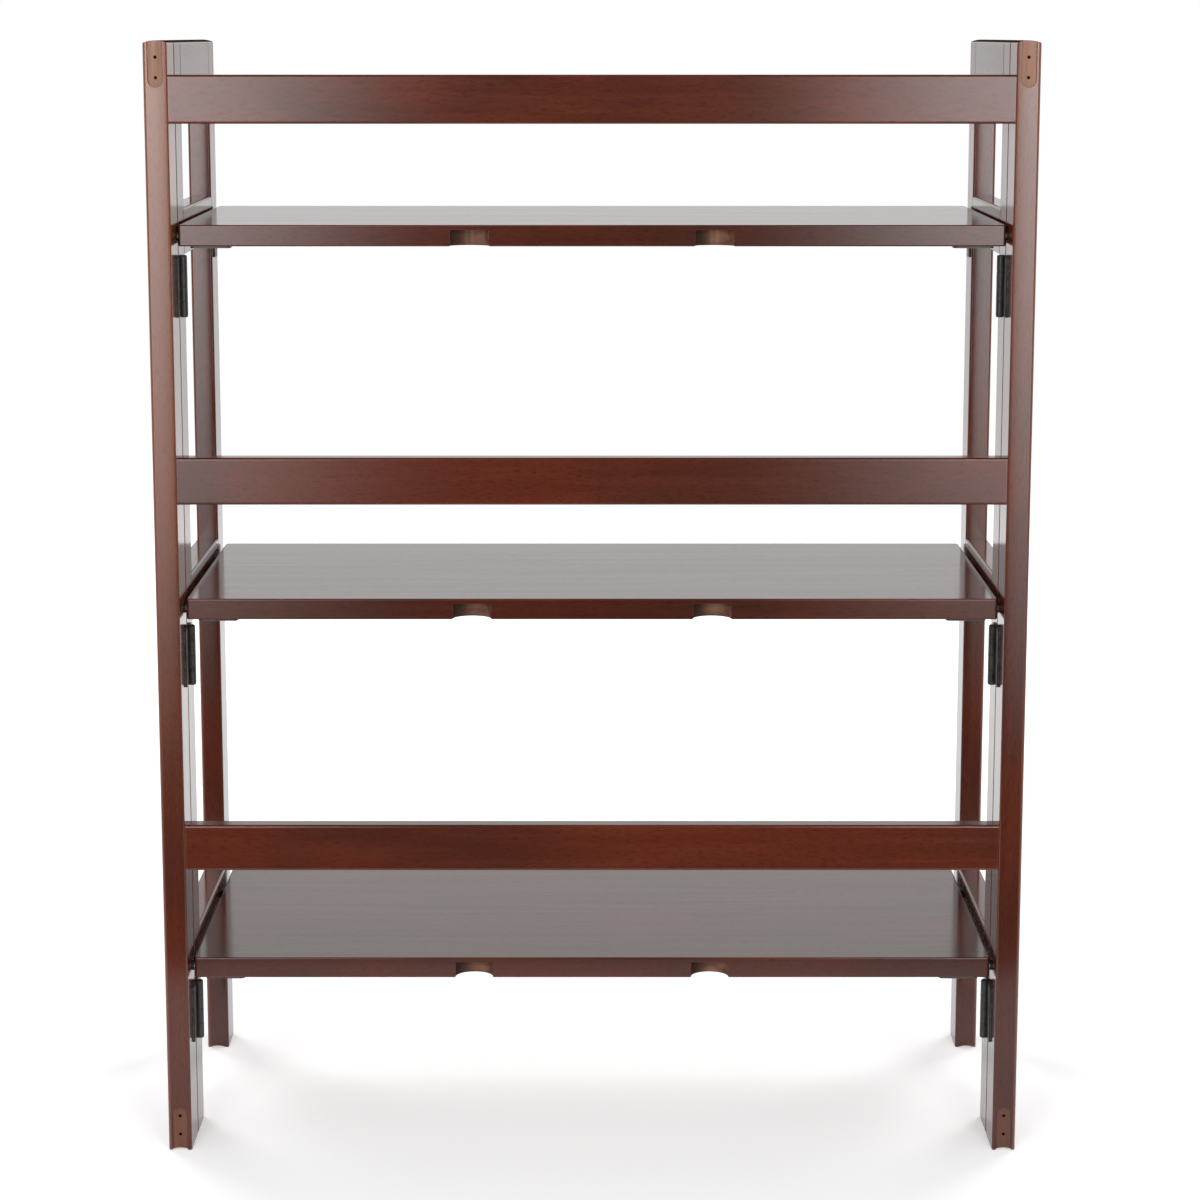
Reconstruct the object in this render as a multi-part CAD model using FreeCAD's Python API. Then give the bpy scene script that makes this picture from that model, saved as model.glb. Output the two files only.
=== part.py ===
import FreeCAD, Part
import os

from FreeCAD import Vector

# Folding bookcase, made as its separate pieces. A ladder-like back frame carries two side
# frames on butt hinges and three shelves on pivot pins. Lengths are millimetres. X runs
# across, +Y towards the open front and Z up. The origin is on the floor, at the centre of
# the footprint. Right is +X. Every left-hand piece is the mirror image of its right-hand one.

# ---- Case --------------------------------------------------------------------------------
CASE_WIDTH = 700.0
CASE_DEPTH = 294.0
CASE_HEIGHT = 906.0
BOARD = 19.0  # thickness of posts, stiles and side rails
POST_DEPTH = 40.0  # back post, back to front
STILE_WIDTH = 38.0  # side-frame stile, back to front
SEAM = 1.0  # open line between a back post and the side frame hinged to it
ARRIS = 2.0  # rounding of the long edges of the sticks
CROWN = 2.0  # rise of the rounded top of the sides
FOOT_HOLLOW = 1.5  # the matching hollow under each foot, so that cases stack
FOOT_FLAT = 2.5  # flat rim left at both edges of a foot

# ---- Shelves -----------------------------------------------------------------------------
LEVELS = ("lower", "middle", "top")
FIRST_SHELF_TOP = 158.5  # top of the lowest shelf above the floor
LAST_SHELF_DROP = 144.5  # top of the highest shelf below the top of the case
SHELF_THICKNESS = 17.0
SHELF_END_GAP = 2.6  # between a shelf's end and the inner face of the side
SHELF_BACK_INSET = 21.0  # rear edge of the shelves, from the back plane
SHELF_FRONT_INSET = 3.0  # front edge of the shelves, from the front plane
SHELF_ARRIS = 1.2
SHELF_CORNER = 2.0  # plan radius of a shelf's corners
NOTCH_RADIUS = 15.4  # half-round cut-out that clears the folded front support
NOTCH_ROOF = 4.0  # wood left over a cut-out, which is cut from below

# ---- Rails -------------------------------------------------------------------------------
RAIL_HEIGHT = 38.0
BACK_RAIL_THICKNESS = 16.0
BACK_RAIL_INSET = 1.0  # back rails behind the back plane
BACK_RAIL_RISE = 118.0  # top edge of a back rail above the shelf it stands over
SIDE_RAIL_RISE = 10.3  # top edge of a side rail above the shelf beside it

# ---- Dowels that join rails to posts and stiles ------------------------------------------
DOWEL_RADIUS = 4.0
DOWEL_SPACING = 18.0  # two to a joint
DOWEL_DEPTH = 14.0  # into each of the two pieces
DOWEL_PLAY = 0.05
DOWEL_END_ROOM = 1.0  # glue room beyond each end

# ---- Butt hinges, post to side frame -----------------------------------------------------
HINGE_HEIGHT = 48.0
HINGE_DROP = 33.0  # hinge centre below the underside of the shelf
LEAF_THICKNESS = 1.6
LEAF_REACH = 17.0  # pin axis to the free edge of a leaf
LEAF_CORNER = 2.0
BARREL_RADIUS = 3.3
BARREL_STANDOFF = 0.3  # barrel clear of the wood
KNUCKLES = 4
KNUCKLE_GAP = 0.3
KNUCKLE_CLEARANCE = 0.4  # a leaf's cut-away round the other leaf's knuckles
PIN_RADIUS = 1.5
PIN_PLAY = 0.05
PIN_HEAD_RADIUS = 3.0
PIN_HEAD_HEIGHT = 0.9
PIN_HEAD_ROUND = 0.6
HINGE_SCREW_SPACING = 17.0  # three to a leaf
HINGE_SCREW_REACH = 10.5  # screw row from the pin axis

# ---- Countersunk wood screws -------------------------------------------------------------
SCREW_RADIUS = 1.5
SCREW_HEAD_RADIUS = 3.0
SCREW_LENGTH = 13.0
SCREW_TIP = 2.5
SCREW_POINT_RADIUS = 0.3
SCREW_SLOT_WIDTH = 0.7
SCREW_SLOT_LENGTH = 3.4
SCREW_SLOT_DEPTH = 0.9
SCREW_PLAY = 0.05

# ---- Shelf pivots ------------------------------------------------------------------------
PIVOT_INSET = 8.0  # pivot axis from the shelf's rear edge
PIVOT_RADIUS = 2.5
PIVOT_PLAY = 0.05
PIVOT_IN_SHELF = 13.0
PIVOT_IN_POST = 12.0
BUSH_RADIUS = 3.6
BUSH_FLANGE_RADIUS = 4.3
BUSH_FLANGE = 1.2
BUSH_END_WALL = 1.0

# ---- Plates under the shelves' rear corners ----------------------------------------------
PLATE_LENGTH = 32.0
PLATE_WIDTH = 16.0
PLATE_THICKNESS = 1.6
PLATE_CORNER = 3.0
PLATE_END_INSET = 9.0  # from the shelf's end
PLATE_BACK_INSET = 2.6  # from the shelf's rear edge
PLATE_SCREW_SPACING = 18.0
PLATE_SCREW_LENGTH = 12.0

# ---- Front supports on the front stiles --------------------------------------------------
SUPPORT_WIDTH = 15.0
SUPPORT_DROP = 26.0  # height of the leg on the stile
SUPPORT_LEG = 16.0  # leg under the shelf
SUPPORT_THICKNESS = 1.8
SUPPORT_BEND = 1.2  # outer radius of the bend
SUPPORT_FRONT_INSET = 23.4  # its centre from the front plane
SUPPORT_PLAY = 0.2  # below the shelf
SUPPORT_SCREW_SPACING = 11.0

# ---- Connector recesses in the back posts, for stacking plates ---------------------------
RECESS_WIDTH = 12.4
RECESS_DEPTH = 2.0
RECESS_HEIGHT = 36.5
RECESS_HOLE_RADIUS = 1.3
RECESS_HOLE_DEPTH = 12.0
RECESS_HOLE_END = 13.0  # first hole from the end of the post
RECESS_HOLE_SPACING = 15.8

# ---- Places worked out from the sizes above ----------------------------------------------
HALF = CASE_WIDTH / 2
INNER = HALF - BOARD
MIDDLE = (HALF + INNER) / 2
BACK = -CASE_DEPTH / 2
FRONT = CASE_DEPTH / 2
POST_FRONT = BACK + POST_DEPTH
SIDE_BACK = POST_FRONT + SEAM
SHELF_END = INNER - SHELF_END_GAP
SHELF_BACK = BACK + SHELF_BACK_INSET
SHELF_FRONT = FRONT - SHELF_FRONT_INSET
RAIL_BACK = BACK + BACK_RAIL_INSET
RAIL_MIDDLE = RAIL_BACK + BACK_RAIL_THICKNESS / 2
HINGE_X = INNER - BARREL_RADIUS - BARREL_STANDOFF
HINGE_Y = POST_FRONT + SEAM / 2
PIVOT_Y = SHELF_BACK + PIVOT_INSET
SUPPORT_Y = FRONT - SUPPORT_FRONT_INSET
NOTCH_X = HINGE_X - (SUPPORT_Y - HINGE_Y)  # where the support lies when the side is folded in
SHELF_PITCH = (CASE_HEIGHT - LAST_SHELF_DROP - FIRST_SHELF_TOP) / (len(LEVELS) - 1)
SHELF_TOPS = [FIRST_SHELF_TOP + SHELF_PITCH * n for n in range(len(LEVELS))]
KNUCKLE_PITCH = HINGE_HEIGHT / KNUCKLES

TOUCH = 1e-3  # places closer than this are the same place
X = Vector(1, 0, 0)
Y = Vector(0, 1, 0)
Z = Vector(0, 0, 1)


def box(x, y, z):
    """A box between the low and high values of each pair."""
    return Part.makeBox(x[1] - x[0], y[1] - y[0], z[1] - z[0], Vector(x[0], y[0], z[0]))


def rod(x, y, z, direction, radius, length):
    """A cylinder that starts at a point and runs along direction."""
    return Part.makeCylinder(radius, length, Vector(x, y, z), direction)


def edges_along(shape, direction):
    """The straight edges that run along direction."""
    found = []
    for edge in shape.Edges:
        if isinstance(edge.Curve, Part.Line):
            run = edge.Vertexes[-1].Point - edge.Vertexes[0].Point
            if run.cross(direction).Length < TOUCH:
                found.append(edge)
    return found


def cut_all(shape, tools):
    """shape with every tool taken out."""
    return shape.cut(Part.makeCompound(tools)).Solids[0]


def save(name, *solids):
    """Writes one piece, or one group of like pieces, as a STEP file."""
    shape = solids[0] if len(solids) == 1 else Part.makeCompound(list(solids))
    shape.exportStep("parts/" + name + ".step")


def mirrored(solids):
    """The left-hand copies of right-hand solids."""
    return [solid.mirror(Vector(0, 0, 0), X) for solid in solids]


def save_pair(name, *solids, after=""):
    """Writes a right-hand piece and its left-hand mirror image."""
    save(name + "_right" + after, *solids)
    save(name + "_left" + after, *mirrored(solids))


# ---- Screws, dowels and holes ------------------------------------------------------------


def screw(x, y, z, direction, length, grip):
    """A countersunk screw. (x, y, z) is the middle of its flat head and grip the sheet it holds."""
    start = Vector(x, y, z)
    head = Part.makeCone(SCREW_HEAD_RADIUS, SCREW_RADIUS, grip, start, direction)
    shank = Part.makeCylinder(SCREW_RADIUS, length - SCREW_TIP, start, direction)
    tip_start = start + direction * (length - SCREW_TIP)
    tip = Part.makeCone(SCREW_RADIUS, SCREW_POINT_RADIUS, SCREW_TIP, tip_start, direction)
    body = head.fuse([shank, tip]).removeSplitter()
    side = direction.cross(Z) if abs(direction.z) < 0.5 else X
    up = direction.cross(side)
    slots = [slot(start, direction, side, up), slot(start, direction, up, side)]
    return cut_all(body, slots)


def slot(start, direction, along, across):
    """One bar of the cross recess in a screw's head."""
    corner = start - along * (SCREW_SLOT_LENGTH / 2) - across * (SCREW_SLOT_WIDTH / 2)
    outline = [
        corner,
        corner + along * SCREW_SLOT_LENGTH,
        corner + along * SCREW_SLOT_LENGTH + across * SCREW_SLOT_WIDTH,
        corner + across * SCREW_SLOT_WIDTH,
        corner,
    ]
    return Part.Face(Part.makePolygon(outline)).extrude(direction * SCREW_SLOT_DEPTH)


def screw_hole(x, y, z, direction, length, grip):
    """The countersink and pilot hole that take a screw."""
    start = Vector(x, y, z)
    sink = Part.makeCone(
        SCREW_HEAD_RADIUS + SCREW_PLAY, SCREW_RADIUS + SCREW_PLAY, grip, start, direction
    )
    return sink.fuse(Part.makeCylinder(SCREW_RADIUS + SCREW_PLAY, length, start, direction))


def dowel(x, y, z, direction):
    """A dowel whose middle is the joint between two pieces."""
    start = Vector(x, y, z) - direction * DOWEL_DEPTH
    return Part.makeCylinder(DOWEL_RADIUS, 2 * DOWEL_DEPTH, start, direction)


def dowel_hole(x, y, z, direction):
    """The hole for a dowel, through the joint into both pieces."""
    reach = DOWEL_DEPTH + DOWEL_END_ROOM
    start = Vector(x, y, z) - direction * reach
    return Part.makeCylinder(DOWEL_RADIUS + DOWEL_PLAY, 2 * reach, start, direction)


def dowel_heights(rail_top):
    """The heights of the two dowels at a rail's end."""
    centre = rail_top - RAIL_HEIGHT / 2
    return [centre - DOWEL_SPACING / 2, centre + DOWEL_SPACING / 2]


# ---- Wooden sticks -----------------------------------------------------------------------


def side_stick(y_low, y_high, z_low, z_high, crowned, footed):
    """A stick in the plane of the right-hand side: its outline across X, swept along Y."""

    def at(x, z):
        return Vector(x, y_low, z)

    shoulder = z_high - CROWN if crowned else z_high
    edges = []
    if footed:
        rim = (at(INNER + FOOT_FLAT, z_low), at(HALF - FOOT_FLAT, z_low))
        edges.append(Part.makeLine(at(INNER, z_low), rim[0]))
        edges.append(Part.Arc(rim[0], at(MIDDLE, z_low + FOOT_HOLLOW), rim[1]).toShape())
        edges.append(Part.makeLine(rim[1], at(HALF, z_low)))
    else:
        edges.append(Part.makeLine(at(INNER, z_low), at(HALF, z_low)))
    edges.append(Part.makeLine(at(HALF, z_low), at(HALF, shoulder)))
    if crowned:
        crown = Part.Arc(at(HALF, shoulder), at(MIDDLE, z_high), at(INNER, shoulder))
        edges.append(crown.toShape())
    else:
        edges.append(Part.makeLine(at(HALF, shoulder), at(INNER, shoulder)))
    edges.append(Part.makeLine(at(INNER, shoulder), at(INNER, z_low)))
    return Part.Face(Part.Wire(edges)).extrude(Y * (y_high - y_low))


def upright(y_low, y_high):
    """A back post or a stile, with its vertical edges and its shoulders rounded."""
    stick = side_stick(y_low, y_high, 0.0, CASE_HEIGHT, crowned=True, footed=True)
    shoulders = [
        edge for edge in edges_along(stick, Y) if edge.CenterOfMass.z > CASE_HEIGHT / 2
    ]
    return stick.makeFillet(ARRIS, edges_along(stick, Z) + shoulders)


def side_rail(rail_top, crowned):
    """A side-frame rail, between the two stiles."""
    reach = (SIDE_BACK + STILE_WIDTH, FRONT - STILE_WIDTH)
    stick = side_stick(*reach, rail_top - RAIL_HEIGHT, rail_top, crowned, footed=False)
    holes = [
        dowel_hole(MIDDLE, y, z, Y) for y in reach for z in dowel_heights(rail_top)
    ]
    return cut_all(stick.makeFillet(ARRIS, edges_along(stick, Y)), holes)


def back_rail(rail_top):
    """A back rail, between the two back posts."""
    stick = box(
        (-INNER, INNER),
        (RAIL_BACK, RAIL_BACK + BACK_RAIL_THICKNESS),
        (rail_top - RAIL_HEIGHT, rail_top),
    )
    holes = [
        dowel_hole(x, RAIL_MIDDLE, z, X)
        for x in (-INNER, INNER)
        for z in dowel_heights(rail_top)
    ]
    return cut_all(stick.makeFillet(ARRIS, edges_along(stick, X)), holes)


def recess(end, inward):
    """A connector recess in a post's back face: end is its open end and inward +1 or -1 along Z."""
    bottom = end + inward * (RECESS_HEIGHT - RECESS_WIDTH / 2)
    depth = (BACK, BACK + RECESS_DEPTH)
    width = (MIDDLE - RECESS_WIDTH / 2, MIDDLE + RECESS_WIDTH / 2)
    channel = box(width, depth, (min(end, bottom), max(end, bottom)))
    rounding = rod(MIDDLE, BACK, bottom, Y, RECESS_WIDTH / 2, RECESS_DEPTH)
    holes = [
        rod(MIDDLE, BACK, z, Y, RECESS_HOLE_RADIUS, RECESS_DEPTH + RECESS_HOLE_DEPTH)
        for z in recess_holes(end, inward)
    ]
    return channel.fuse([rounding, *holes])


def recess_holes(end, inward):
    """The heights of the two screw holes in a connector recess."""
    first = end + inward * RECESS_HOLE_END
    return [first, first + inward * RECESS_HOLE_SPACING]


# ---- Hinges ------------------------------------------------------------------------------


def hinge_centre(level):
    """The height of the middle of the hinge under a shelf."""
    return SHELF_TOPS[level] - SHELF_THICKNESS - HINGE_DROP


def knuckle_bands(centre, first):
    """The heights of every second knuckle, counted down from the top of the barrel."""
    top = centre + HINGE_HEIGHT / 2
    bands = []
    for n in range(first, KNUCKLES, 2):
        high = top - KNUCKLE_PITCH * n
        bands.append((high - KNUCKLE_PITCH, high))
    return bands


def hinge_leaf(centre, toward, own, other):
    """One leaf with its knuckles. toward is -1 for the leaf on the post and +1 on the stile."""
    ends = (HINGE_Y, HINGE_Y + toward * LEAF_REACH)
    heights = (centre - HINGE_HEIGHT / 2, centre + HINGE_HEIGHT / 2)
    plate = box((INNER - LEAF_THICKNESS, INNER), (min(ends), max(ends)), heights)
    corners = [
        edge
        for edge in edges_along(plate, X)
        if abs(edge.CenterOfMass.y - ends[1]) < TOUCH
    ]
    plate = plate.makeFillet(LEAF_CORNER, corners)
    room = BARREL_RADIUS + KNUCKLE_CLEARANCE
    leaf = plate.cut(
        Part.makeCompound(
            [box((HINGE_X - room, HALF), (HINGE_Y - room, HINGE_Y + room), band) for band in other]
        )
    )
    knuckles = [
        rod(HINGE_X, HINGE_Y, low + KNUCKLE_GAP / 2, Z, BARREL_RADIUS, high - low - KNUCKLE_GAP)
        for low, high in own
    ]
    bore = rod(HINGE_X, HINGE_Y, heights[0], Z, PIN_RADIUS + PIN_PLAY, HINGE_HEIGHT)
    holes = [
        screw_hole(*place, X, SCREW_LENGTH, LEAF_THICKNESS)
        for place in hinge_screw_places(centre, toward)
    ]
    return cut_all(leaf.fuse(knuckles), [bore, *holes])


def hinge_screw_places(centre, toward):
    """The middles of the three screw heads on a leaf."""
    y = HINGE_Y + toward * HINGE_SCREW_REACH
    return [
        (INNER - LEAF_THICKNESS, y, centre + n * HINGE_SCREW_SPACING) for n in (-1, 0, 1)
    ]


def hinge_screws(toward):
    """Every screw through the leaves on one side of the pins."""
    return [
        screw(*place, X, SCREW_LENGTH, LEAF_THICKNESS)
        for level in range(len(LEVELS))
        for place in hinge_screw_places(hinge_centre(level), toward)
    ]


def hinge_screw_holes(toward):
    """The holes that those screws need in the wood."""
    return [
        screw_hole(*place, X, SCREW_LENGTH, LEAF_THICKNESS)
        for level in range(len(LEVELS))
        for place in hinge_screw_places(hinge_centre(level), toward)
    ]


def hinge_pin(centre):
    """A hinge pin with a low domed head at each end."""
    low = centre - HINGE_HEIGHT / 2
    pin = rod(HINGE_X, HINGE_Y, low, Z, PIN_RADIUS, HINGE_HEIGHT)
    caps = []
    for z, outer in ((low - PIN_HEAD_HEIGHT, -1), (low + HINGE_HEIGHT, 1)):
        cap = rod(HINGE_X, HINGE_Y, z, Z, PIN_HEAD_RADIUS, PIN_HEAD_HEIGHT)
        middle = cap.CenterOfMass.z
        rim = [e for e in cap.Edges if e.Closed and (e.CenterOfMass.z - middle) * outer > 0]
        caps.append(cap.makeFillet(PIN_HEAD_ROUND, rim))
    return pin.fuse(caps).removeSplitter()


# ---- Shelf hardware ----------------------------------------------------------------------


def pivot_height(level):
    """The height of a shelf's pivot axis, half way up its thickness."""
    return SHELF_TOPS[level] - SHELF_THICKNESS / 2


def pivot_pin(level):
    """The right-hand pin, pressed in the shelf's end and turning in the post's bush."""
    start = SHELF_END - PIVOT_IN_SHELF
    length = PIVOT_IN_SHELF + SHELF_END_GAP + PIVOT_IN_POST
    return rod(start, PIVOT_Y, pivot_height(level), X, PIVOT_RADIUS, length)


def bush_room(level):
    """The bore for a bush in a post's inner face."""
    depth = PIVOT_IN_POST + BUSH_END_WALL
    return rod(INNER, PIVOT_Y, pivot_height(level), X, BUSH_RADIUS, depth)


def pivot_bush(level):
    """A flanged bush, closed at its far end."""
    start = (INNER - BUSH_FLANGE, PIVOT_Y, pivot_height(level))
    flange = rod(*start, X, BUSH_FLANGE_RADIUS, BUSH_FLANGE)
    depth = BUSH_FLANGE + PIVOT_IN_POST + PIVOT_PLAY
    bore = rod(*start, X, PIVOT_RADIUS + PIVOT_PLAY, depth)
    return cut_all(flange.fuse(bush_room(level)).removeSplitter(), [bore])


def plate_screw_places(level):
    """The middles of the screw heads in the plate under a shelf's rear corner."""
    x = SHELF_END - PLATE_END_INSET - PLATE_LENGTH / 2
    y = SHELF_BACK + PLATE_BACK_INSET + PLATE_WIDTH / 2
    z = SHELF_TOPS[level] - SHELF_THICKNESS - PLATE_THICKNESS
    return [(x + n * PLATE_SCREW_SPACING / 2, y, z) for n in (-1, 1)]


def corner_plate(level):
    """The plate under a shelf's right-hand rear corner."""
    x = SHELF_END - PLATE_END_INSET
    y = SHELF_BACK + PLATE_BACK_INSET
    z = SHELF_TOPS[level] - SHELF_THICKNESS
    plate = box((x - PLATE_LENGTH, x), (y, y + PLATE_WIDTH), (z - PLATE_THICKNESS, z))
    plate = plate.makeFillet(PLATE_CORNER, edges_along(plate, Z))
    holes = [
        screw_hole(*place, Z, PLATE_SCREW_LENGTH, PLATE_THICKNESS)
        for place in plate_screw_places(level)
    ]
    return cut_all(plate, holes)


def plate_screws(level):
    """The right-hand plate's screws."""
    return [
        screw(*place, Z, PLATE_SCREW_LENGTH, PLATE_THICKNESS)
        for place in plate_screw_places(level)
    ]


def shelf(level):
    """A shelf with its rear cut-outs, its pin bores and its screw holes."""
    z = SHELF_TOPS[level] - SHELF_THICKNESS
    board = box((-SHELF_END, SHELF_END), (SHELF_BACK, SHELF_FRONT), (z, z + SHELF_THICKNESS))
    board = board.makeFillet(SHELF_CORNER, edges_along(board, Z))
    notch_height = SHELF_THICKNESS - NOTCH_ROOF
    notches = [
        rod(x, SHELF_BACK, z, Z, NOTCH_RADIUS, notch_height) for x in (-NOTCH_X, NOTCH_X)
    ]
    board = cut_all(board, notches)
    level_edges = [edge for edge in board.Edges if edge.BoundBox.ZLength < TOUCH]
    roof = z + notch_height
    rims = [edge for edge in level_edges if abs(edge.CenterOfMass.z - roof) > TOUCH]
    board = board.makeFillet(SHELF_ARRIS, rims)
    right = [pivot_pin(level)] + [
        screw_hole(*place, Z, PLATE_SCREW_LENGTH, PLATE_THICKNESS)
        for place in plate_screw_places(level)
    ]
    return cut_all(board, right + mirrored(right))


def support_top(level):
    """The top of a front support, just under the shelf."""
    return SHELF_TOPS[level] - SHELF_THICKNESS - SUPPORT_PLAY


def support_screw_places(level):
    """The middles of the screw heads in a front support."""
    x = INNER - SUPPORT_THICKNESS
    middle = support_top(level) - SUPPORT_THICKNESS - (SUPPORT_DROP - SUPPORT_THICKNESS) / 2
    return [(x, SUPPORT_Y, middle + n * SUPPORT_SCREW_SPACING / 2) for n in (-1, 1)]


def front_support(level):
    """An angle bracket on the front stile, whose top leg carries the shelf's front."""
    high = support_top(level)
    width = (SUPPORT_Y - SUPPORT_WIDTH / 2, SUPPORT_Y + SUPPORT_WIDTH / 2)
    stem = box((INNER - SUPPORT_THICKNESS, INNER), width, (high - SUPPORT_DROP, high))
    leg = box((INNER - SUPPORT_LEG, INNER), width, (high - SUPPORT_THICKNESS, high))
    angle = stem.fuse(leg).removeSplitter()
    bend = [
        e
        for e in edges_along(angle, Y)
        if abs(e.CenterOfMass.x - INNER) < TOUCH and abs(e.CenterOfMass.z - high) < TOUCH
    ]
    angle = angle.makeFillet(SUPPORT_BEND, bend)
    holes = [
        screw_hole(*place, X, SCREW_LENGTH, SUPPORT_THICKNESS)
        for place in support_screw_places(level)
    ]
    return cut_all(angle, holes)


def support_screws():
    """Every screw in the right-hand front supports."""
    return [
        screw(*place, X, SCREW_LENGTH, SUPPORT_THICKNESS)
        for level in range(len(LEVELS))
        for place in support_screw_places(level)
    ]


def support_screw_holes():
    """The holes that those screws need in the front stile."""
    return [
        screw_hole(*place, X, SCREW_LENGTH, SUPPORT_THICKNESS)
        for level in range(len(LEVELS))
        for place in support_screw_places(level)
    ]


# ---- Back frame --------------------------------------------------------------------------


def back_rail_tops():
    return [top + BACK_RAIL_RISE for top in SHELF_TOPS]


def back_frame_dowels():
    return [
        (x, RAIL_MIDDLE, z)
        for top in back_rail_tops()
        for x in (-INNER, INNER)
        for z in dowel_heights(top)
    ]


def back_post():
    """The right-hand back post with everything that is cut in it."""
    cuts = [recess(0.0, 1), recess(CASE_HEIGHT, -1)]
    cuts += [dowel_hole(*place, X) for place in back_frame_dowels() if place[0] > 0]
    cuts += [bush_room(level) for level in range(len(LEVELS))]
    cuts += hinge_screw_holes(-1)
    return cut_all(upright(BACK, POST_FRONT), cuts)


def make_back_frame():
    save_pair("back_post", back_post())
    for name, top in zip(LEVELS, back_rail_tops()):
        save("back_rail_" + name, back_rail(top))
    save("back_frame_dowels", *[dowel(*place, X) for place in back_frame_dowels()])
    for level, name in enumerate(LEVELS):
        centre = hinge_centre(level)
        bands = (knuckle_bands(centre, 0), knuckle_bands(centre, 1))
        save_pair("hinge_post_leaf", hinge_leaf(centre, -1, *bands), after="_" + name)
    pins = [hinge_pin(hinge_centre(level)) for level in range(len(LEVELS))]
    bushes = [pivot_bush(level) for level in range(len(LEVELS))]
    screws = hinge_screws(-1)
    save("hinge_pins", *pins, *mirrored(pins))
    save("hinge_post_screws", *screws, *mirrored(screws))
    save("pivot_bushes", *bushes, *mirrored(bushes))


# ---- Side frames -------------------------------------------------------------------------


def side_rail_tops():
    return [top + SIDE_RAIL_RISE for top in SHELF_TOPS] + [CASE_HEIGHT]


def side_dowels(y):
    return [(MIDDLE, y, z) for top in side_rail_tops() for z in dowel_heights(top)]


def make_side_frames():
    rear_joint = SIDE_BACK + STILE_WIDTH
    front_joint = FRONT - STILE_WIDTH
    rear_cuts = [dowel_hole(*place, Y) for place in side_dowels(rear_joint)]
    rear_cuts += hinge_screw_holes(1)
    front_cuts = [dowel_hole(*place, Y) for place in side_dowels(front_joint)]
    front_cuts += support_screw_holes()
    save_pair("rear_stile", cut_all(upright(SIDE_BACK, rear_joint), rear_cuts))
    save_pair("front_stile", cut_all(upright(front_joint, FRONT), front_cuts))
    names = [*LEVELS, "crown"]
    for name, top in zip(names, side_rail_tops()):
        save_pair("side_rail", side_rail(top, crowned=top == CASE_HEIGHT), after="_" + name)
    places = side_dowels(rear_joint) + side_dowels(front_joint)
    save_pair("side_frame_dowels", *[dowel(*place, Y) for place in places])
    for level, name in enumerate(LEVELS):
        centre = hinge_centre(level)
        bands = (knuckle_bands(centre, 1), knuckle_bands(centre, 0))
        save_pair("hinge_stile_leaf", hinge_leaf(centre, 1, *bands), after="_" + name)
        save_pair("front_support", front_support(level), after="_" + name)
    save_pair("hinge_stile_screws", *hinge_screws(1))
    save_pair("front_support_screws", *support_screws())


# ---- Shelves -----------------------------------------------------------------------------


def make_shelves():
    for level, name in enumerate(LEVELS):
        save("shelf_" + name, shelf(level))
        pin = pivot_pin(level)
        screws = plate_screws(level)
        save("pivot_pins_" + name, pin, *mirrored([pin]))
        save_pair("corner_plate", corner_plate(level), after="_" + name)
        save("corner_plate_screws_" + name, *screws, *mirrored(screws))


os.makedirs("parts", exist_ok=True)
make_back_frame()
make_side_frames()
make_shelves()
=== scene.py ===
# %% [markdown]
# # A folding bookcase in lacquered walnut stain
#
# The bookcase is three shelves that tip up between two back posts, and two side frames that
# swing in on butt hinges. Its shape was drawn to size beforehand and comes in as ready meshes,
# one for each piece. This lesson sets up the floor, the light and the camera, gives each piece its
# finish, and adds the real screws and two small catches. Lengths are in metres, and +Z is up.

# %% The drawn pieces
import math
import random
from functools import partial

import bpy
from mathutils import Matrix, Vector


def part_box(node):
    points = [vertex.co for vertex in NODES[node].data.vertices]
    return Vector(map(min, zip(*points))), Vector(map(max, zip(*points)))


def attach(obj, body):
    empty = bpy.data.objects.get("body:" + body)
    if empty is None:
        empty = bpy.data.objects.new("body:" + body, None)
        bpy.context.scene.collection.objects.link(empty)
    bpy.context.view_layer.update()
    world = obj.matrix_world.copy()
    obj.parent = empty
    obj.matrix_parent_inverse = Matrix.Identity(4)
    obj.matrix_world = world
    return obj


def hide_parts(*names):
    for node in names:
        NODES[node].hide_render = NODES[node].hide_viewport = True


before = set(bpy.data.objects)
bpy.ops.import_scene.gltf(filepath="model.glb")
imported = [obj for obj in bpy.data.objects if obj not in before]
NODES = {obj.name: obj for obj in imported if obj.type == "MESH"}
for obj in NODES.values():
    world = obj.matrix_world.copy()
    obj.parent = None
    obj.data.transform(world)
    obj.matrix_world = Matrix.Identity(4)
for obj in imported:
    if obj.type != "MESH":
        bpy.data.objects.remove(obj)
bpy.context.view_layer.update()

MM = 0.001
SIDES = {"left": -1, "right": 1}
LEVELS = ("lower", "middle", "top")

# %% [markdown]
# ## The helpers
#
# A colour picked on a screen is an sRGB value, and Blender's sockets take linear light, so one
# function turns a hex code into linear. A material is a graph of nodes, so a second function adds
# one node and fills its sockets: a plain value is typed in, and another node's output is linked.
# The rest are short names for what nearly every graph needs: one step of arithmetic, one
# coordinate of a vector, a soft step, and a material whose graph is still empty.

# %% Colour and node helpers
def linear(hex_code):
    """A hex colour as linear red, green, blue and alpha."""
    channels = [int(hex_code[i : i + 2], 16) / 255 for i in (1, 3, 5)]
    curve = [c / 12.92 if c <= 0.04045 else ((c + 0.055) / 1.055) ** 2.4 for c in channels]
    return (*curve, 1.0)


def add(tree, kind, sockets=None, **settings):
    """One more node in the tree, with its settings made and its sockets filled or linked."""
    node = tree.nodes.new(kind)
    for name, value in settings.items():
        setattr(node, name, value)
    for key, value in (sockets or {}).items():
        if isinstance(value, bpy.types.NodeSocket):
            tree.links.new(value, node.inputs[key])
        else:
            node.inputs[key].default_value = value
    return node


def calculate(tree, operation, a, b):
    """One step of arithmetic with two numbers or outputs."""
    return add(tree, "ShaderNodeMath", {0: a, 1: b}, operation=operation).outputs[0]


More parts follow.
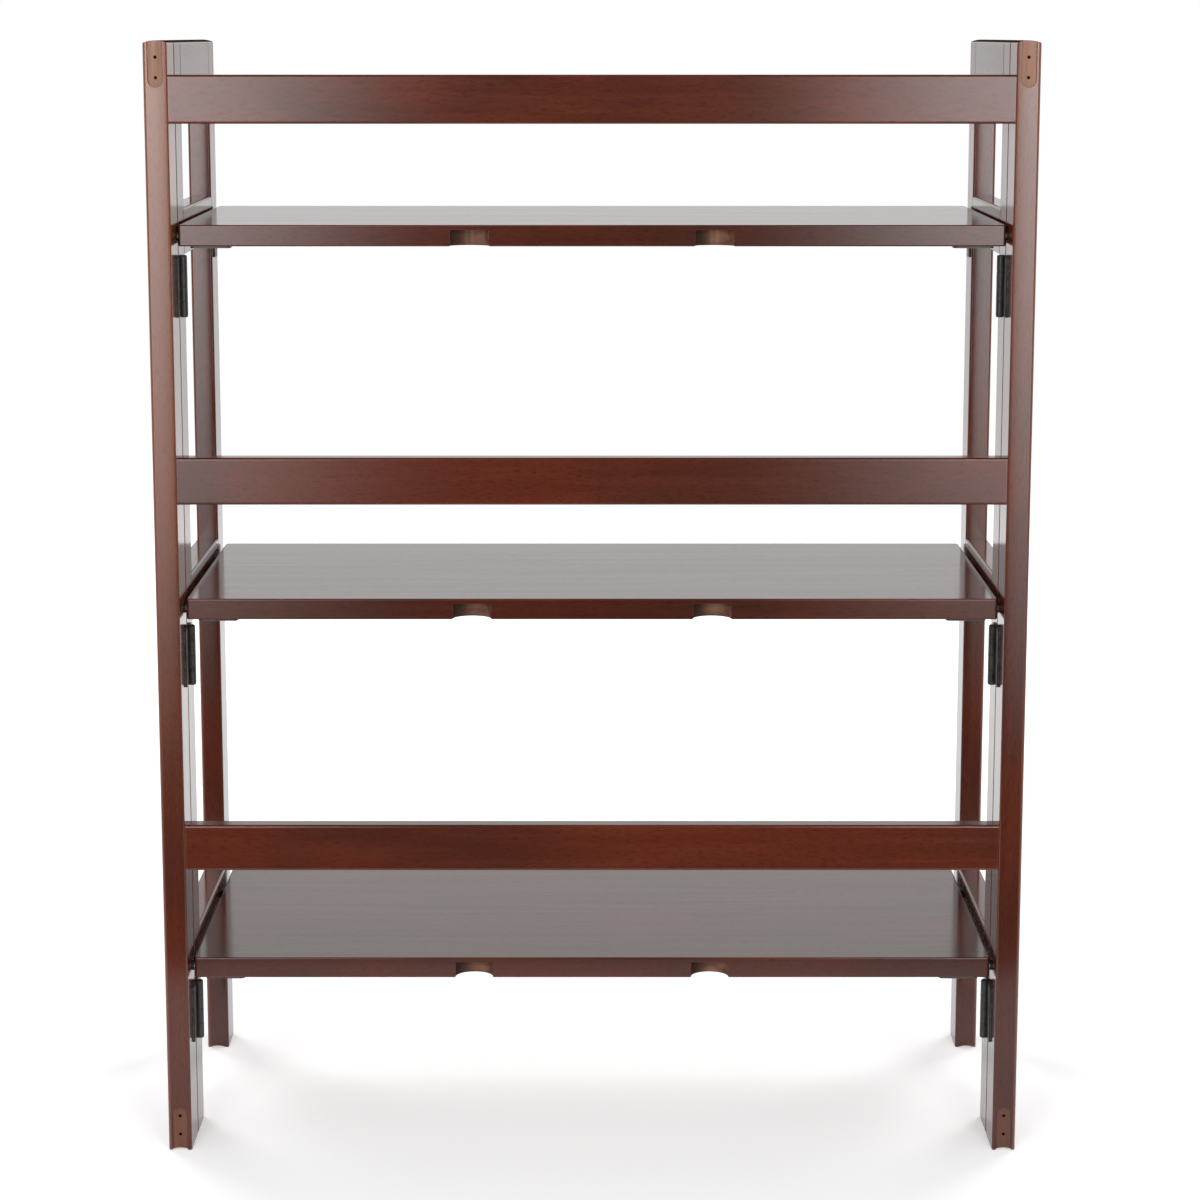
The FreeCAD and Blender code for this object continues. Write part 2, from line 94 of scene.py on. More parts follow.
def component(tree, vector, axis):
    """The X, Y or Z of a vector."""
    return add(tree, "ShaderNodeSeparateXYZ", {0: vector}).outputs[axis]


def fade(tree, value, start, end, low=0.0, high=1.0):
    """A soft step: low before start, high after end."""
    sockets = {"Value": value, "From Min": start, "From Max": end, "To Min": low, "To Max": high}
    node = add(tree, "ShaderNodeMapRange", sockets, interpolation_type="SMOOTHSTEP")
    return node.outputs["Result"]


def new_material(name):
    """A material whose graph is still empty, and that graph."""
    material = bpy.data.materials.new(name)
    material.use_nodes = True
    material.node_tree.nodes.clear()
    return material, material.node_tree


print("mid-grey check:", round(linear("#808080")[0], 4))

# %% [markdown]
# ## The room
#
# The bookcase stands on a plain pale floor that runs on into a white backdrop. The glossy surfaces
# see a world that is white on the far side, as a paper backdrop is, and dim overhead and behind
# the camera, where a studio has no paper. The lacquer needs that difference: shelf tops, seen at a
# flat angle, mirror the paper, and rails, seen square on, mirror the dim room. A table gives the
# paper's brightness from the horizon upwards. The camera itself sees plain white all round.

# %% World
BACKDROP_LIGHT = 0.46
PAPER_LIGHT = [(0.06, 0.78), (0.16, 1.0), (0.28, 1.0), (0.7, 0.08)]  # height, brightness
PAPER_EDGE = (-0.35, 0.1)  # by Y of a direction: room before the first, paper after the second
ROOM_LIGHT = 0.06

world = bpy.data.worlds.new("studio")
bpy.context.scene.world = world
world.use_nodes = True
room = world.node_tree
room.nodes.clear()
direction = add(room, "ShaderNodeTexCoord").outputs["Generated"]
compass = add(room, "ShaderNodeSeparateXYZ", {0: direction}).outputs
paper_ramp = add(room, "ShaderNodeValToRGB", {"Fac": compass["Z"]})
stops = paper_ramp.color_ramp.elements
stops.remove(stops[1])
for n, (height, brightness) in enumerate(PAPER_LIGHT):
    stop = stops[0] if n == 0 else stops.new(height)
    stop.position = height
    stop.color = (brightness, brightness, brightness, 1.0)
paper = paper_ramp.outputs["Color"]
mirrored = fade(room, compass["Y"], *PAPER_EDGE, ROOM_LIGHT, paper)
rays = add(room, "ShaderNodeLightPath").outputs
sockets = {"Factor": rays["Is Glossy Ray"], "A": BACKDROP_LIGHT, "B": mirrored}
on_the_case = add(room, "ShaderNodeMix", sockets).outputs[0]
see_through = calculate(room, "MAXIMUM", rays["Is Camera Ray"], rays["Is Transmission Ray"])
sockets = {"Factor": see_through, "A": on_the_case, "B": 1.0}
strength = add(room, "ShaderNodeMix", sockets).outputs[0]
sky = add(room, "ShaderNodeBackground", {"Color": linear("#ffffff"), "Strength": strength})
add(room, "ShaderNodeOutputWorld", {"Surface": sky.outputs[0]})
print("world:", world.name)

# %% [markdown]
# ## The floor
#
# The floor is one sheet of white paper. It runs far out to both sides and to the backdrop, and on
# the camera's side it ends less than a metre from the case, so the lower rails mirror the dim
# room over its edge. It scatters light as matt paper does, and it also glows a little, just enough
# to meet the white of the backdrop where nothing shades it. The glow is weaker by the case, where
# the lamps light the paper, so the soft shadow stays.

# %% Floor
FLOOR_FAR = 30.0
FLOOR_NEAR = -0.62
FLOOR_GLOW = 0.61
GLOW_BY_CASE = 0.4
GLOW_FADE = (0.35, 3.0)  # distances from the case between which the glow grows

floor_mesh = bpy.data.meshes.new("floor")
corners = [(-FLOOR_FAR, FLOOR_NEAR), (FLOOR_FAR, FLOOR_NEAR)]
corners += [(FLOOR_FAR, FLOOR_FAR), (-FLOOR_FAR, FLOOR_FAR)]
floor_mesh.from_pydata([(x, y, 0.0) for x, y in corners], [], [(0, 1, 2, 3)])
floor = bpy.data.objects.new("floor", floor_mesh)
bpy.context.scene.collection.objects.link(floor)

floor_paint, sheet = new_material("matt_white_paper")
rays = add(sheet, "ShaderNodeLightPath").outputs
seen = calculate(sheet, "MAXIMUM", rays["Is Camera Ray"], rays["Is Glossy Ray"])
seen = calculate(sheet, "MAXIMUM", seen, rays["Is Transmission Ray"])
place = add(sheet, "ShaderNodeNewGeometry").outputs["Position"]
distance = add(sheet, "ShaderNodeVectorMath", {0: place}, operation="LENGTH").outputs["Value"]
glow = fade(sheet, distance, *GLOW_FADE, GLOW_BY_CASE, FLOOR_GLOW)
glow = calculate(sheet, "MULTIPLY", seen, glow)
matt = add(sheet, "ShaderNodeBsdfDiffuse", {"Color": linear("#f2f2f2")}).outputs[0]
lit = add(sheet, "ShaderNodeEmission", {"Color": linear("#ffffff"), "Strength": glow}).outputs[0]
both = add(sheet, "ShaderNodeAddShader", {0: matt, 1: lit}).outputs[0]
add(sheet, "ShaderNodeOutputMaterial", {"Surface": both})
floor_mesh.materials.append(floor_paint)
print("floor from y =", FLOOR_NEAR, "to", FLOOR_FAR)

# %% [markdown]
# ## The lamps
#
# Two tall softboxes stand left and right of the camera. Their mirror images lie on the outer ends
# of the upper rails and on the upper posts, and fade towards the middle and the floor. Lacquer
# shows each lamp's shape, so one lamp overhead would leave the rails flat. A real softbox is
# brightest by its bulb and fades to its rim, so these fade too, downwards and towards the middle.
# Two more lamps fill the open front from both sides. They only scatter light, and the lacquer does
# not mirror them, so the shelf tops keep their even sheen. No lamp is seen by the camera itself.

# %% Softboxes
LAMP_AIM = Vector((0.0, 0.0, 0.5))
KEY_PLACE = Vector((0.67, -2.55, 0.75))  # the right one of two, as with the fill
KEY_SIZE = (0.9, 2.1)
KEY_RADIANCE = 8.0
KEY_FADE = 0.6  # the share of its width and height over which it fades
FILL_PLACE = Vector((1.9, 2.3, 2.0))
FILL_SIZE = (1.2, 1.6)
FILL_RADIANCE = 6.0


def softbox(name, place, size, radiance):
    """A lit panel that faces the case. Radiance is its brightness to the eye, 1 being white."""
    width, height = size
    lamp = bpy.data.lights.new(name, "AREA")
    lamp.shape = "RECTANGLE"
    lamp.size = width
    lamp.size_y = height
    lamp.energy = radiance * math.pi * width * height
    holder = bpy.data.objects.new(name, lamp)
    holder.location = place
    holder.rotation_euler = (LAMP_AIM - place).to_track_quat("-Z", "Y").to_euler()
    holder.visible_camera = False
    bpy.context.scene.collection.objects.link(holder)
    print("lamp:", name, round(lamp.energy, 1), "W")
    return holder


def fading(lamp, inner_side):
    """Let a lamp fade downwards and towards its inner side, which is 0 or 1 across the panel."""
    lamp.use_nodes = True
    tree = lamp.node_tree
    tree.nodes.clear()
    panel = add(tree, "ShaderNodeNewGeometry").outputs["Parametric"]
    panel = add(tree, "ShaderNodeSeparateXYZ", {0: panel}).outputs
    across = fade(tree, panel["X"], inner_side, abs(inner_side - KEY_FADE))
    sockets = {"Value": panel["Y"], "From Min": 0.0, "From Max": KEY_FADE}
    upward = add(tree, "ShaderNodeMapRange", sockets).outputs["Result"]
    both_ways = calculate(tree, "MULTIPLY", across, upward)
    light = add(tree, "ShaderNodeEmission", {"Strength": both_ways})
    add(tree, "ShaderNodeOutputLight", {"Surface": light.outputs[0]})


for side_name, side in SIDES.items():
    mirror = Vector((side, 1.0, 1.0))
    key = softbox("key_softbox_" + side_name, KEY_PLACE * mirror, KEY_SIZE, KEY_RADIANCE)
    fading(key.data, 0 if side > 0 else 1)
    fill = softbox("fill_softbox_" + side_name, FILL_PLACE * mirror, FILL_SIZE, FILL_RADIANCE)
    fill.visible_glossy = False

# %% [markdown]
# ## The camera
#
# The eye is level with the top of the case, 2.37 m behind it, with a long lens, so that the shelf
# tops show as thin bright bands. The lens looks down a little, and a small shift lifts the case in
# the frame.

# %% Camera
LENS = 90.2
SENSOR = 36.0
SHIFT = (0.0067, -0.05)
EYE_PLACE = (0.0, -2.517, 0.9115)
LOOK_DOWN = math.radians(9.57)

eye = bpy.data.cameras.new("camera")
eye.sensor_width = SENSOR
eye.lens = LENS
eye.shift_x, eye.shift_y = SHIFT
camera = bpy.data.objects.new("camera", eye)
camera.location = EYE_PLACE
camera.rotation_euler = (math.pi / 2 - LOOK_DOWN, 0.0, 0.0)
bpy.context.scene.collection.objects.link(camera)
bpy.context.scene.camera = camera
bpy.context.scene.view_settings.view_transform = "Standard"
print("camera:", LENS, "mm lens")

# %% [markdown]
# ## Lacquered walnut stain
#
# The sticks and shelves are a pale, close-grained hardwood such as rubberwood, stained a dark
# reddish walnut and sprayed with clear gloss lacquer. To the eye that gives three layers. Deep
# down, growth bands and long dark pores run along each piece. Over them the stain lies unevenly,
# browner here and redder there, and thin where sanding has rounded an edge. On top the lacquer is
# smooth and mirrors the room. A plain coloured plastic has none of these, so each layer gets its
# own nodes. First come the patterns, all scaled from real sizes.

# %% Grain patterns
BAND_WIDTH = 9 * MM  # one growth band, across the grain
BAND_STRETCH = 0.045  # bands run about twenty times as far along the grain
PORE_WIDTH = 0.7 * MM  # a real pore is 0.2 mm wide, drawn coarser so that it shows
PORE_STRETCH = 0.1
PORE_PEAKS = (0.56, 0.68)  # only the highest noise becomes a pore
FLECK = 1.8 * MM  # a fine fleck of figure
FLECK_STRETCH = 0.25  # four times as long as wide
BLOTCH = 70 * MM  # a patch of thicker or thinner stain
BLOTCH_STRETCH = 0.4
NOISE_ROUGHNESS = 0.55
NOISE_RANGE = (0.3, 0.7)  # noise seldom lies outside these


def along(axis, share):
    """A scale that stretches a pattern along one axis."""
    return tuple(share if name == axis else 1.0 for name in "XYZ")


def noise(tree, place, size, detail=3.0, distortion=0.0):
    """Noise whose features are about one size across."""
    sockets = {"Vector": place, "Scale": 1 / size, "Detail": detail}
    sockets.update({"Roughness": NOISE_ROUGHNESS, "Distortion": distortion})
    return add(tree, "ShaderNodeTexNoise", sockets).outputs[0]


def stretched(tree, place, axis, offset, share):
    """The place, moved by offset and squeezed along one axis, so that patterns run long there."""
    sockets = {"Vector": place, "Location": offset, "Scale": along(axis, share)}
    return add(tree, "ShaderNodeMapping", sockets).outputs[0]


def grain_patterns(tree, place, axis, offset):
    """Growth bands, pores, flecks and stain blotches of one piece, each from 0 to 1."""
    long_bands = stretched(tree, place, axis, offset, BAND_STRETCH)
    long_pores = stretched(tree, place, axis, offset, PORE_STRETCH)
    long_flecks = stretched(tree, place, axis, offset, FLECK_STRETCH)
    long_blotches = stretched(tree, place, axis, offset, BLOTCH_STRETCH)
    bands = noise(tree, long_bands, BAND_WIDTH, detail=4.0, distortion=0.5)
    pores = fade(tree, noise(tree, long_pores, PORE_WIDTH, detail=2.0), *PORE_PEAKS)
    flecks = noise(tree, long_flecks, FLECK, detail=2.0)
    blotches = noise(tree, long_blotches, BLOTCH, detail=2.0)
    return bands, pores, flecks, blotches


print("bands", BAND_WIDTH, "m, pores", PORE_WIDTH, "m, blotches", BLOTCH, "m")

# %% [markdown]
# ## Worn edges, cut ends and tops
#
# Each long edge of a stick is sanded round before staining, and takes less stain there. A mask for
# that could come from the mesh's curvature, but these meshes have few points on their flat faces.
# A piece is nearly a box, so the distance to its box's faces is used instead: on an edge, two of
# the three distances are small. The edges that look away from the case get a mask of their own,
# which carries a painted reflection of the bright room at the sides. Cut ends and tops are found by
# the way their faces look.

# %% Masks
FACING = (0.6, 0.85)  # below the first a face looks elsewhere, above the second it counts fully
OUTER_HALF = (0.5, 0.6)  # where a stick's outer half starts, as a share of its width
SLOT_RIM = 0.1 * MM
CUT_OUT_RIM = 0.15 * MM


def depths_in_box(tree, place, middle, half):
    """How deep the place lies in a box, along X, Y and Z. Outside one of them is below 0."""
    offset = add(tree, "ShaderNodeVectorMath", {0: place, 1: middle}, operation="SUBTRACT").outputs[0]
    offset = add(tree, "ShaderNodeVectorMath", {0: offset}, operation="ABSOLUTE").outputs[0]
    inside = add(tree, "ShaderNodeVectorMath", {0: half, 1: offset}, operation="SUBTRACT").outputs[0]
    return add(tree, "ShaderNodeSeparateXYZ", {0: inside}).outputs


def edge_mask(tree, place, low, high, reach):
    """1 on the edges of a box, and 0 from reach inwards."""
    depths = depths_in_box(tree, place, (low + high) / 2, (high - low) / 2)
    nearer = calculate(tree, "MINIMUM", depths["X"], depths["Y"])
    farther = calculate(tree, "MAXIMUM", depths["X"], depths["Y"])
    second = calculate(tree, "MAXIMUM", nearer, calculate(tree, "MINIMUM", farther, depths["Z"]))
    return fade(tree, second, 0.0, reach, 1.0, 0.0)


def outer_edge_mask(tree, place, low, high, reach):
    """1 on the edges of a stick's outer side, the one that looks away from the case."""
    inner_x, outer_x = sorted((low.x, high.x), key=abs)
    sockets = {"Value": component(tree, place, "X"), "From Min": inner_x, "From Max": outer_x}
    across = add(tree, "ShaderNodeMapRange", sockets).outputs["Result"]
    outer = fade(tree, across, *OUTER_HALF)
    return calculate(tree, "MULTIPLY", outer, edge_mask(tree, place, low, high, reach))


def end_mask(tree, normal, axis):
    """1 where the face looks along the grain, so that cut ends show."""
    facing = component(tree, normal, axis)
    facing = add(tree, "ShaderNodeMath", {0: facing}, operation="ABSOLUTE").outputs[0]
    return fade(tree, facing, *FACING)


def top_mask(tree, normal):
    """1 where the face looks up."""
    return fade(tree, component(tree, normal, "Z"), *FACING)


def slot_mask(tree, place, middle, half, paleness):
    """Paleness inside a box, and 0 outside: the routed slots lie in one."""
    depths = depths_in_box(tree, place, middle, half)
    least = calculate(tree, "MINIMUM", depths["Y"], depths["Z"])
    least = calculate(tree, "MINIMUM", depths["X"], least)
    return fade(tree, least, 0.0, SLOT_RIM, 0.0, paleness)


def round_mask(tree, place, centre, radius, roof):
    """1 within a radius of an upright axis and below a roof: the half-round cut-outs lie there."""
    offset = add(tree, "ShaderNodeVectorMath", {0: place, 1: centre}, operation="SUBTRACT").outputs[0]
    flat = add(tree, "ShaderNodeVectorMath", {0: offset, 1: (1, 1, 0)}, operation="MULTIPLY").outputs[0]
    far = add(tree, "ShaderNodeVectorMath", {0: flat}, operation="LENGTH").outputs["Value"]
    within = fade(tree, far, radius, radius + CUT_OUT_RIM, 1.0, 0.0)
    below = fade(tree, component(tree, place, "Z"), roof, roof + SLOT_RIM, 1.0, 0.0)
    return calculate(tree, "MULTIPLY", within, below)


print("masks: edge, outer edge, cut end, top, routed slot, half-round cut-out")

# %% [markdown]
# ## Where the router went
#
# Two places were cut after the boards were shaped, and their bare wood drank the stain unevenly,
# so they are paler and more orange: the shallow round-ended slots at both ends of each post's back
# face, the upper ones most, and the half-round cut-outs in each shelf's rear edge, which were cut
# from below and leave the top whole. The walls of each slot carry painted light, lighter than its
# floor, and the walls of each cut-out that look right carry painted shade.
# Their sizes are typed in here as they were drawn, and the drawn boxes say where each piece lies.

# %% Routed places
SLOT_WIDTH = 12.4 * MM
SLOT_LENGTH = 36.5 * MM
SLOT_DEPTH = 2.0 * MM
SLOT_PALENESS = (0.34, 1.0)  # of the lower and of the upper slots
CUT_OUT_X = 97.3 * MM
CUT_OUT_RADIUS = 15.4 * MM
CUT_OUT_ROOF = 4.0 * MM  # wood left over a cut-out
HAIR = 0.05 * MM


def routed_places(node_name):
    """The masks that this piece needs, as functions of a tree and a place."""
    low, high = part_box(node_name)
    found = []
    if node_name.startswith("back_post"):
        half = Vector((SLOT_WIDTH / 2 + HAIR, SLOT_DEPTH / 2, SLOT_LENGTH / 2 + HAIR))
        heights = (low.z + SLOT_LENGTH / 2, high.z - SLOT_LENGTH / 2)
        for height, paleness in zip(heights, SLOT_PALENESS):
            middle = Vector(((low.x + high.x) / 2, low.y + SLOT_DEPTH / 2 + 4 * HAIR, height))
            found.append(partial(slot_mask, middle=middle, half=half, paleness=paleness))
    if node_name.startswith("shelf"):
        radius = CUT_OUT_RADIUS + HAIR
        roof = high.z - CUT_OUT_ROOF + HAIR
        for x in (-CUT_OUT_X, CUT_OUT_X):
            centre = Vector((x, low.y, 0.0))
            found.append(partial(round_mask, centre=centre, radius=radius, roof=roof))
    return found


print("routed places on a shelf:", len(routed_places("shelf_top")))

# %% [markdown]
# ## One board's finish
#
# Now the layers go together. The stain's colour is mixed from dark to light by the growth bands,
# pulled towards red or brown by the blotches, and darkened in the pores, on cut ends and on the
# matt tops. It is lightened on the edges and in the routed places, where the slot walls carry
# painted light and one side of each cut-out carries painted shade. The outer edges of posts and
# stiles are palest, a painted reflection of the bright room at the sides. The lacquer is the
# shader's coat: clear, smooth and the only mirror. The stained wood under it meets lacquer and not
# air, so it has no gloss of its own. Each piece is its own board with its own tone, so each gets
# its own copy, moved along the pattern.

# %% Stained wood
STAIN_DARK = "#4a1e13"
STAIN_LIGHT = "#5f2d1d"
STAIN_BANDS = (0.32, 0.7)  # the bands' values where the stain is darkest and lightest
STAIN_BROWN = "#49251a"
STAIN_RED = "#662a19"
STAIN_BLOTCHES = (0.38, 0.62)  # the blotches' values where it is brownest and reddest
STAIN_THIN = "#8c5334"
STAIN_THICK = "#2c130d"
PORE_COLOUR = "#26100b"
PORE_SHARE = 0.4
FLECK_COLOUR = "#3a190f"
FLECK_PEAKS = (0.5, 0.72)
FLECK_SHARE = 0.45
EDGE_COLOUR = "#77412f"
EDGE_WEAR = 1.9 * MM
EDGE_BLOTCHES = (0.35, 0.65)
EDGE_SHARES = (0.1, 0.55)  # the least and the most that shows of an edge
# painted reflection of the bright room at the sides, on the outer edges of posts and stiles
OUTER_EDGE_REFLECTION = "#a3786a"
OUTER_REFLECTION_REACH = 3.2 * MM
OUTER_REFLECTION_SHARE = 0.45
END_GRAIN = "#2e1710"
END_SHARE = 0.9
ROUTED_WOOD = "#996c51"
ROUTED_DARK = "#7d523d"
# painted light: the walls of a routed slot are lightened to this colour
ROUTED_WALL_PAINTED_LIGHT = "#bd835b"
ROUTED_BANDS = (0.35, 0.65)
CUT_OUT_WOOD = "#86604f"
CUT_OUT_DARK = "#634639"
# painted shade: the cut-out walls that look right are darkened to this colour
CUT_OUT_PAINTED_SHADE = "#44322b"
PAINTED_SHADE_SIDE = (-0.25, 0.7)  # by how far a wall looks to the right
COAT_IN_CUT_OUT = 0.12  # the share of lacquer that stays in a cut-out
COAT_IN_SLOT = 0.35
COLOUR_A, COLOUR_B, COLOUR_OUT = 6, 7, 2  # a mix node's sockets when it mixes colours


def blend_colours(tree, factor, a, b):
    """Colour a where factor is 0, and b where it is 1."""
    node = add(tree, "ShaderNodeMix", {"Factor": factor}, data_type="RGBA")
    for socket, value in ((node.inputs[COLOUR_A], a), (node.inputs[COLOUR_B], b)):
        if isinstance(value, bpy.types.NodeSocket):
            tree.links.new(value, socket)
        else:
            socket.default_value = linear(value)
    return node.outputs[COLOUR_OUT]


def stain_colour(tree, patterns, tone, thinness):
    """The stain over growth bands, flecks, blotches and pores."""
    bands, pores, flecks, blotches = patterns
    lightness = fade(tree, bands, STAIN_BANDS[0] - tone, STAIN_BANDS[1] - tone)
    colour = blend_colours(tree, lightness, STAIN_DARK, STAIN_LIGHT)
    uneven = blend_colours(tree, fade(tree, blotches, *STAIN_BLOTCHES), STAIN_BROWN, STAIN_RED)
    colour = blend_colours(tree, 0.5, colour, uneven)
    flecked = fade(tree, flecks, *FLECK_PEAKS, 0.0, FLECK_SHARE)
    colour = blend_colours(tree, flecked, colour, FLECK_COLOUR)
    colour = blend_colours(tree, thinness, colour, STAIN_THIN)
    thickness = calculate(tree, "MULTIPLY", thinness, -1.0)
    colour = blend_colours(tree, thickness, colour, STAIN_THICK)
    return blend_colours(tree, calculate(tree, "MULTIPLY", pores, PORE_SHARE), colour, PORE_COLOUR)


def stain_thinness(tree, place, axis, low, high, ends):
    """Above 0 the stain is thin, and below 0 thick, from one end of a board to the other."""
    n = "XYZ".index(axis)
    sockets = {"Value": component(tree, place, axis), "From Min": low[n], "From Max": high[n]}
    sockets.update({"To Min": ends[0], "To Max": ends[1]})
    return add(tree, "ShaderNodeMapRange", sockets).outputs["Result"]


def masked_colour(tree, colour, patterns, masks, bare_colours):
    """Cut ends, worn edges, the painted reflection on outer edges, and routed places over the stain."""
    bands, _, _, blotches = patterns
    ends, edges, outer, routed = masks
    colour = blend_colours(tree, calculate(tree, "MULTIPLY", ends, END_SHARE), colour, END_GRAIN)
    worn = fade(tree, blotches, *EDGE_BLOTCHES, *EDGE_SHARES)
    worn = calculate(tree, "MULTIPLY", edges, worn)
    colour = blend_colours(tree, worn, colour, EDGE_COLOUR)
    # painted reflection on the outer edges
    if outer is not None:
        painted_reflection = calculate(tree, "MULTIPLY", outer, OUTER_REFLECTION_SHARE)
        colour = blend_colours(tree, painted_reflection, colour, OUTER_EDGE_REFLECTION)
    if routed is None:
        return colour
    dark, pale, side_colour, side = bare_colours
    bare = blend_colours(tree, fade(tree, bands, *ROUTED_BANDS), dark, pale)
    # painted light on slot walls, or painted shade on one side of a cut-out
    bare = blend_colours(tree, side, bare, side_colour)
    return blend_colours(tree, routed, colour, bare)


def bare_wood(tree, normal, node_name):
    """The colours of a routed place, and the mask of its painted light on slot walls or of its painted
    shade on one side of a cut-out.
    """
    if node_name.startswith("shelf"):
        # painted shade on the walls of a cut-out that look right
        shaded_side = fade(tree, component(tree, normal, "X"), *PAINTED_SHADE_SIDE)
        return CUT_OUT_DARK, CUT_OUT_WOOD, CUT_OUT_PAINTED_SHADE, shaded_side
    # painted light on the walls of a routed slot
    lit_walls = calculate(tree, "SUBTRACT", 1.0, end_mask(tree, normal, "Y"))
    return ROUTED_DARK, ROUTED_WOOD, ROUTED_WALL_PAINTED_LIGHT, lit_walls


def stained_wood(node_name, axis, offset, tone, thin_at_ends):
    """The finish of one board, made for that board alone."""
    material, tree = new_material("lacquered_walnut_stain_" + node_name)
    low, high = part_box(node_name)
    where = add(tree, "ShaderNodeTexCoord").outputs
    place = where["Object"]
    normal = where["Normal"]
    patterns = grain_patterns(tree, place, axis, offset)
    routed = None
    for mask in routed_places(node_name):
        found = mask(tree, place)
        routed = found if routed is None else calculate(tree, "MAXIMUM", routed, found)
    bare = None if routed is None else bare_wood(tree, normal, node_name)
    dark_top = node_name.endswith("crown")
    ends = top_mask(tree, normal) if dark_top else end_mask(tree, normal, axis)
    edges = edge_mask(tree, place, low, high, EDGE_WEAR)
    outer = outer_edge_mask(tree, place, low, high, OUTER_REFLECTION_REACH) if axis == "Z" else None
    thinness = stain_thinness(tree, place, axis, low, high, thin_at_ends)
    colour = stain_colour(tree, patterns, tone, thinness)
    colour = masked_colour(tree, colour, patterns, (ends, edges, outer, routed), bare)
    coat_left = COAT_IN_CUT_OUT if node_name.startswith("shelf") else COAT_IN_SLOT
    face = round_face(tree, place, low, high) if axis == "Z" else None
    lacquer(tree, colour, patterns, place, ends, routed, coat_left, face)
    return material


print("stain:", STAIN_DARK, "to", STAIN_LIGHT)

# %% [markdown]
# ## The lacquer
#
# Sprayed lacquer levels itself, but not fully: it keeps a faint orange peel a few millimetres
# across, and sinks a hair into the pores. So the wood gets one bump for its pores and bands, and
# the coat gets a much weaker one. On posts and stiles the coat also follows the face, which sanding
# left a hair round, so a lamp's image ends softly there. Softer bands and flecks drink a little of
# it, which gives the shelf tops their faint figure. Cut ends and tops soak it up and stay nearly
# matt, and routed places get little of it. The coat's other numbers are the same all over.

# %% Clear coat
ORANGE_PEEL = 7 * MM
GRAIN_HEIGHT = 0.05 * MM
PEEL_HEIGHT = 0.004 * MM
FACE_ROUND = 0.2 * MM  # how far a narrow face falls from its middle to its edges
PORE_SINK = 0.5  # how deep pores and flecks show in the coat, as shares of the peel
FLECK_SINK = 0.35
BAND_DRINKS = 0.06  # the most lacquer that bands and flecks take from the coat
FLECK_DRINKS = 0.05
DRINKING_FLECKS = (0.4, 0.7)
COAT_ON_ENDS = 0.02
LACQUER_IOR = 1.5
LACQUER_ROUGHNESS = 0.13
WOOD_ROUGHNESS = (0.42, 0.55)


def principled(tree, sockets):
    """The shader at the end of a tree."""
    shader = add(tree, "ShaderNodeBsdfPrincipled", sockets)
    add(tree, "ShaderNodeOutputMaterial", {"Surface": shader.outputs[0]})


def bump(tree, distance, height, strength):
    """A bump: the surface looks raised by height times distance, as strongly as strength says."""
    sockets = {"Strength": strength, "Distance": distance, "Height": height}
    return add(tree, "ShaderNodeBump", sockets)


def round_face(tree, place, low, high):
    """The normal of an upright stick's narrow faces, which sanding left a little round."""
    sockets = {"Value": component(tree, place, "X"), "From Min": low.x, "From Max": high.x}
    sockets.update({"To Min": -1.0, "To Max": 1.0})
    across = add(tree, "ShaderNodeMapRange", sockets).outputs["Result"]
    fallen = calculate(tree, "MULTIPLY", across, across)
    height = calculate(tree, "SUBTRACT", 1.0, fallen)
    return bump(tree, FACE_ROUND, height, strength=1.0).outputs[0]


def lacquer(tree, colour, patterns, place, ends, routed, coat_left, face):
    """The shader of a lacquered board. Coat left is the share of lacquer in routed places."""
    bands, pores, flecks, blotches = patterns
    raised = calculate(tree, "SUBTRACT", calculate(tree, "ADD", bands, flecks), pores)
    wood_bump = bump(tree, GRAIN_HEIGHT, raised, strength=0.5)
    skin = noise(tree, place, ORANGE_PEEL, detail=1.0)
    for pattern, sink in ((pores, PORE_SINK), (flecks, FLECK_SINK)):
        skin = calculate(tree, "SUBTRACT", skin, calculate(tree, "MULTIPLY", pattern, sink))
    coat_bump = bump(tree, PEEL_HEIGHT, skin, strength=0.6)
    if face is not None:
        tree.links.new(face, coat_bump.inputs["Normal"])
    roughness = fade(tree, blotches, *NOISE_RANGE, *WOOD_ROUGHNESS)
    roughness = calculate(tree, "MAXIMUM", roughness, ends)
    drunk_by_bands = fade(tree, bands, *NOISE_RANGE, 0.0, BAND_DRINKS)
    drunk_by_flecks = fade(tree, flecks, *DRINKING_FLECKS, 0.0, FLECK_DRINKS)
    drunk = calculate(tree, "ADD", drunk_by_bands, drunk_by_flecks)
    coat = calculate(tree, "SUBTRACT", 1.0, drunk)
    coat = calculate(tree, "MULTIPLY", coat, fade(tree, ends, 0.0, 1.0, 1.0, COAT_ON_ENDS))
    if routed is not None:
        coat = calculate(tree, "MULTIPLY", coat, fade(tree, routed, 0.0, 1.0, 1.0, coat_left))
    principled(
        tree,
        {
            "Base Color": colour,
            "Roughness": roughness,
            "IOR": LACQUER_IOR,
            "Specular IOR Level": 0.0,
            "Coat Weight": coat,
            "Coat Roughness": LACQUER_ROUGHNESS,
            "Coat IOR": LACQUER_IOR,
            "Normal": wood_bump.outputs[0],
            "Coat Normal": coat_bump.outputs[0],
        },
    )


print("orange peel:", ORANGE_PEEL, "m")

# %% [markdown]
# ## Which way each board's grain runs
#
# Grain runs along a stick, because wood is strong that way: up the posts and stiles, and along the
# rails and shelves. One table of name beginnings gives the axis, and a fixed seed gives each board
# its own place in the pattern. A few boards took the stain more thinly towards one end, and the
# shelves took it more thickly all over.

# %% Finish of every board
GRAIN_AXIS = {"back_post": "Z", "front_stile": "Z", "rear_stile": "Z"}
GRAIN_AXIS.update({"back_rail": "X", "side_rail": "Y", "shelf": "X"})

OWN_TONE = {"back_post_right": -0.04, "back_rail_top": 0.02, "back_rail_lower": -0.05}
THIN_AT_ENDS = {"back_post_left": (-0.3, 0.7), "back_post_right": (-0.5, 0.35)}
THIN_AT_ENDS.update({"shelf_" + level: (-0.4, -0.4) for level in LEVELS})

SEED = 11
OFFSET_REACH = 4.0
TONES = (-0.05, 0.03)

